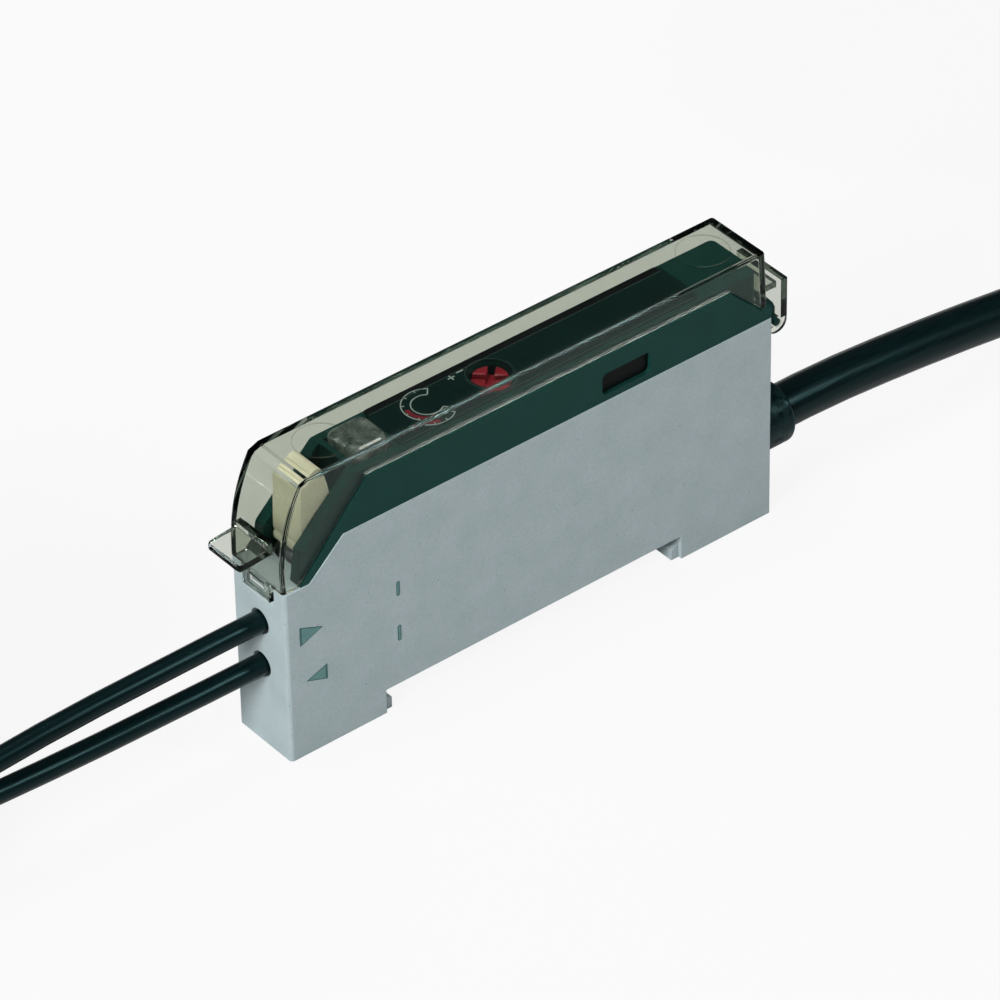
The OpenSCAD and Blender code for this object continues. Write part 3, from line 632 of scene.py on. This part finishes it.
def addPivotPlugs():
    x, z = pivotPlugs["at"]
    across, thick = pivotPlugs["across"], pivotPlugs["thick"]
    for i, side in enumerate((-1, 1)):
        plug = flatShape(pivotPlugs["sides"], (across, across), thick)
        y = side * (pivotPlugs["face"] - thick)
        plug.rotation_euler = (math.radians(-90 * side), 0, 0)
        plug.location = ((caseEnd + x) * mm, y * mm, z * mm)
        finishMark(plug, "pivotPlug%d" % i, "deck")


def addSideMarks():
    thick, fillThick = sideMarks["thick"], sideMarks["fillThick"]
    rimRound, fillRound = sideMarks["arrowRound"]
    insetX, insetZ = sideMarks["arrowInset"]
    point = sideMarks["arrowPoint"]
    for name in ("arrowIn", "arrowOut"):
        plan = sideMarks[name]
        wide, tall = plan["size"]
        rim = flatShape(3, (wide, tall), thick, point, rimRound)
        addSideMark(name + "Rim", rim, plan["at"], plan["turn"], "markRim")
        fill = flatShape(3, (wide - insetX, tall - insetZ), fillThick, point, fillRound)
        addSideMark(name, fill, plan["at"], plan["turn"], "mark")
    rimRound, fillRound = sideMarks["barRound"]
    wide, inset = sideMarks["barWidth"], sideMarks["barInset"]
    for i, (x, z, tall) in enumerate(sideMarks["bars"]):
        rim = flatShape(4, (wide, tall), thick, rounding=rimRound)
        addSideMark("sideBarRim%d" % i, rim, (x, z), 0, "markRim")
        fill = flatShape(4, (wide - inset, tall - inset), fillThick, rounding=fillRound)
        addSideMark("sideBar%d" % i, fill, (x, z), 0, "mark")


panel = {
    "level": 28.72, "thick": 0.03, "line": 0.11, "arcSteps": 40, "merge": 0.0001,
    "scale": {"at": (19.7, 0), "outer": 2.45, "inner": 1.55, "from": 50, "to": 310, "ticks": 9,
              "tick": 0.38},
    "wedge": {"outer": 2.2, "inner": 1.8, "from": 165, "to": 262},
    "ring": {"at": (27, 0), "radius": 2.32, "line": 0.06, "to": 359.9},
    # edge: a black strip of painted shade along the panel's far edge, for the dark band there
    "border": {"from": 14.7, "to": 49.1, "y": (2.12, -2.42), "line": 0.07},
    "edge": {"from": 2.12, "to": 3.0, "thick": 0.135, "rise": 0.015, "rounding": 0.2},
    "plus": (23.9, 1.75), "minus": (25.1, 2.0), "stroke": 0.75, "bold": 0.143}


def arcBand(inner, outer, start, end, steps):
    # a flat band along an arc, spun from one short line
    clearSelection()
    bpy.ops.mesh.primitive_plane_add(size=1, location=(0, 0, 0))
    piece = bpy.context.object
    bpy.ops.object.mode_set(mode="EDIT")
    bpy.ops.mesh.select_all(action="SELECT")
    bpy.ops.transform.resize(value=((outer - inner) * mm, 1, 1))
    bpy.ops.transform.translate(value=((outer + inner) / 2 * mm, 0, 0))
    bpy.ops.transform.resize(value=(1, 0, 1), center_override=(0, 0, 0))
    bpy.ops.mesh.remove_doubles(threshold=panel["merge"] * mm)
    bpy.ops.mesh.select_all(action="SELECT")
    bpy.ops.mesh.spin(steps=steps, angle=math.radians(end - start), center=(0, 0, 0),
                      axis=(0, 0, -1))
    bpy.ops.mesh.select_all(action="SELECT")
    bpy.ops.mesh.remove_doubles(threshold=panel["merge"] * mm)
    bpy.ops.mesh.select_all(action="SELECT")
    thicken(panel["thick"])
    piece.rotation_euler = (0, 0, math.radians(start))
    return piece


def setOnPanel(name, piece, at, look, turn=None):
    if turn is not None:
        piece.rotation_euler = (0, 0, math.radians(turn))
    piece.location = ((caseEnd + at[0]) * mm, at[1] * mm, (panel["level"] - printSink) * mm)
    finishMark(piece, name, look)


def addStroke(name, wide, tall, at, look, turn=None):
    setOnPanel(name, flatShape(4, (wide, tall), panel["thick"]), at, look, turn)


def addArc(name, outer, line, plan, at, look):
    band = arcBand(outer - line, outer, plan.get("from", 0), plan["to"], panel["arcSteps"])
    setOnPanel(name, band, at, look)


def addPanelPrint():
    scale, wedge, ring, border = panel["scale"], panel["wedge"], panel["ring"], panel["border"]
    line, stroke, bold = panel["line"], panel["stroke"], panel["bold"]
    outer, at = scale["outer"], scale["at"]
    addArc("scaleOuter", outer, line, scale, at, "white")
    addArc("scaleInner", scale["inner"], line, scale, at, "white")
    addArc("scaleWedge", wedge["outer"], wedge["outer"] - wedge["inner"], wedge, at, "red")
    addArc("adjusterRing", ring["radius"], ring["line"], ring, ring["at"], "faint")
    lastTick = scale["ticks"] - 1
    for i in range(scale["ticks"]):
        turn = between(scale["from"], scale["to"], i / lastTick)
        inner = scale["inner"] if i in (0, lastTick) else outer - scale["tick"]
        middle = (inner + outer) / 2
        way = math.radians(turn)
        spot = (at[0] + middle * math.cos(way), at[1] + middle * math.sin(way))
        addStroke("scaleTick%d" % i, outer - inner, line, spot, "white", turn)
    addStroke("plusAcross", stroke, bold, panel["plus"], "white")
    addStroke("plusAlong", bold, stroke, panel["plus"], "white")
    addStroke("minusAcross", stroke, bold, panel["minus"], "white")
    middle = (border["from"] + border["to"]) / 2
    along = border["to"] - border["from"]
    for i, y in enumerate(border["y"]):
        addStroke("panelLine%d" % i, along, border["line"], (middle, y), "faint")
    # painted shade: a black strip along the panel's far edge stands in for the dark band seen
    # there through the cover
    edge = panel["edge"]
    strip = flatShape(4, (along, edge["to"] - edge["from"]), edge["thick"],
                      rounding=edge["rounding"])
    y = (edge["from"] + edge["to"]) / 2
    z = panel["level"] + edge["rise"] - edge["thick"]
    strip.location = ((caseEnd + middle) * mm, y * mm, z * mm)
    finishMark(strip, "panelEdge", "ink")


# faint raised rings that the mould leaves on the cover's top
coverRings = {"top": 30.9, "radius": 2.65, "line": 0.13, "at": (7.6, 52.4), "steps": 64}


def addCoverRings():
    outer = coverRings["radius"]
    for i, x in enumerate(coverRings["at"]):
        ring = arcBand(outer - coverRings["line"], outer, 0, 360, coverRings["steps"])
        ring.location = ((caseEnd + x) * mm, 0, (coverRings["top"] - printSink) * mm)
        finishMark(ring, "mouldRing%d" % i, "cover", "cover")


addCoverRings()
addPivotPlugs()
addWindowPane()
addSideMarks()
addPanelPrint()
print("marks printed")

# the lamps marked through shine straight through the clear pieces
studio = {
    "floor": 4.0, "floorColour": "#bcbcbc", "glow": 0.9, "gloss": 0.1, "sky": 0.06,
    "aim": (0, 0, 0.012), "clear": ("smokeCover", "mouldRing0", "mouldRing1"),
    "lamps": {
        "keyLamp": {"at": (-0.85, -0.28, 0.5), "size": 0.3, "power": 10.0},
        "fillLamp": {"at": (0.47, -0.62, 0.62), "size": 0.14, "power": 2.6, "through": True},
        "topLamp": {"at": (-0.1, 0.15, 0.95), "size": 0.4, "power": 4.0, "through": True},
        "edgeLamp": {"at": (-0.62, 0.63, 0.5), "size": 0.12, "power": 1.2}}}


def addMath(tree, operation, first, second):
    return addNode(tree, "ShaderNodeMath", {"operation": operation},
                   {0: first, 1: second}).outputs[0]


def addFloor():
    # matt for the lamps, near white for the camera and through the clear pieces
    clearSelection()
    bpy.ops.mesh.primitive_plane_add(size=studio["floor"], location=(0, 0, 0))
    floor = bpy.context.object
    floor.name = "studioFloor"
    made = bpy.data.materials.new("whiteSweep")
    made.use_nodes = True
    tree = made.node_tree
    tree.nodes.clear()
    paths = addNode(tree, "ShaderNodeLightPath").outputs
    seen = addMath(tree, "MAXIMUM", paths["Is Camera Ray"], paths["Is Transmission Ray"])
    seen = addMath(tree, "MULTIPLY", seen, studio["glow"])
    mirrored = addMath(tree, "MULTIPLY", paths["Is Glossy Ray"], studio["gloss"])
    share = addMath(tree, "MAXIMUM", seen, mirrored)
    matt = addNode(tree, "ShaderNodeBsdfDiffuse", None,
                   {"Color": hexColour(studio["floorColour"])})
    glow = addNode(tree, "ShaderNodeEmission", None, {"Color": (1, 1, 1, 1), "Strength": 1.0})
    mixed = addNode(tree, "ShaderNodeMixShader", None,
                    {0: share, 1: matt.outputs[0], 2: glow.outputs[0]})
    addNode(tree, "ShaderNodeOutputMaterial", None, {"Surface": mixed.outputs[0]})
    floor.data.materials.append(made)


def gatherClear():
    clear = bpy.data.collections.new("clearPieces")
    for name in studio["clear"]:
        clear.objects.link(bpy.data.objects[name])
    for item in clear.collection_objects:
        item.light_linking.link_state = "EXCLUDE"
    return clear


def addLamp(name, plan, clear):
    data = bpy.data.lights.new(name, "AREA")
    data.shape = "SQUARE"
    data.size = plan["size"]
    data.energy = plan["power"]
    lamp = bpy.data.objects.new(name, data)
    bpy.context.scene.collection.objects.link(lamp)
    lamp.location = plan["at"]
    if plan.get("through"):
        lamp.light_linking.blocker_collection = clear
    way = Vector(studio["aim"]) - Vector(plan["at"])
    lamp.rotation_euler = way.to_track_quat("-Z", "Y").to_euler()


def addWorld():
    world = bpy.data.worlds.new("studioSky")
    bpy.context.scene.world = world
    world.use_nodes = True
    sky = world.node_tree.nodes["Background"]
    sky.inputs["Color"].default_value = (1, 1, 1, 1)
    sky.inputs["Strength"].default_value = studio["sky"]


addFloor()
clearPieces = gatherClear()
for name, plan in studio["lamps"].items():
    addLamp(name, plan, clearPieces)
addWorld()
bpy.context.scene.view_settings.view_transform = "Standard"
print("studio lit")
